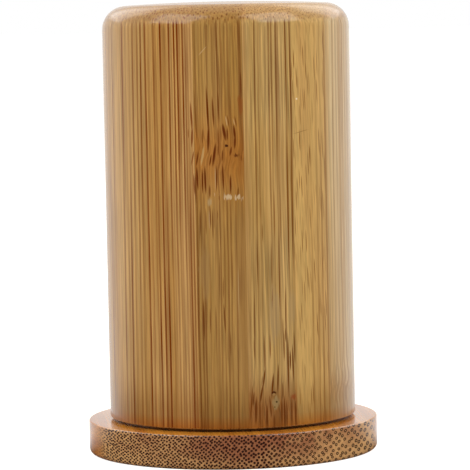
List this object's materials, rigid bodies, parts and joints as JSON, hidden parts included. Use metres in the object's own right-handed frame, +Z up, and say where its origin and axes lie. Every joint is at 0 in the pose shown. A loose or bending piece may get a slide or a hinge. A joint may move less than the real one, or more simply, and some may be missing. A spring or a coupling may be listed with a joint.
{
  "type": "toothpick dispenser",
  "caption": "Bamboo toothpick dispenser: a cup on a round foot disc, under a tall laminated cylindrical cover that lifts straight off.",
  "frame": {"origin": "centre of the foot disc's flat underside, on the turning axis", "axes": "+Z up along the turning axis, from the foot disc to the cover's top; -Y towards the front; the cover's two boards are stacked along Y and the laths of each board along X"},
  "size_m": [0.055, 0.055, 0.0854],
  "materials": {
    "base_disc": "clear varnished bamboo, end grain at the rim",
    "inner_cup": "turned bamboo, thinly varnished",
    "cover_front_lath_1": "clear varnished bamboo, upright grain",
    "cover_front_lath_2": "clear varnished bamboo, upright grain",
    "cover_front_lath_3": "clear varnished bamboo, upright grain",
    "cover_front_lath_4": "clear varnished bamboo, upright grain",
    "cover_front_lath_5": "clear varnished bamboo, upright grain",
    "cover_front_lath_6": "clear varnished bamboo, upright grain",
    "cover_back_lath_1": "clear varnished bamboo, upright grain",
    "cover_back_lath_2": "clear varnished bamboo, upright grain",
    "cover_back_lath_3": "clear varnished bamboo, upright grain",
    "cover_back_lath_4": "clear varnished bamboo, upright grain",
    "cover_back_lath_5": "clear varnished bamboo, upright grain",
    "cover_back_lath_6": "clear varnished bamboo, upright grain"
  },
  "bodies": {
    "base": {"base_disc": "base_disc", "inner_cup": "inner_cup"},
    "cover": {"cover_front_lath_1": "cover_front_lath_1", "cover_front_lath_2": "cover_front_lath_2", "cover_front_lath_3": "cover_front_lath_3", "cover_front_lath_4": "cover_front_lath_4", "cover_front_lath_5": "cover_front_lath_5", "cover_front_lath_6": "cover_front_lath_6", "cover_back_lath_1": "cover_back_lath_1", "cover_back_lath_2": "cover_back_lath_2", "cover_back_lath_3": "cover_back_lath_3", "cover_back_lath_4": "cover_back_lath_4", "cover_back_lath_5": "cover_back_lath_5", "cover_back_lath_6": "cover_back_lath_6"}
  },
  "joints": [
    {"name": "cover_lift", "type": "slide", "parent": "base", "child": "cover", "axis": [0, 0, 1], "range_m": [0, 0.08]}
  ]
}
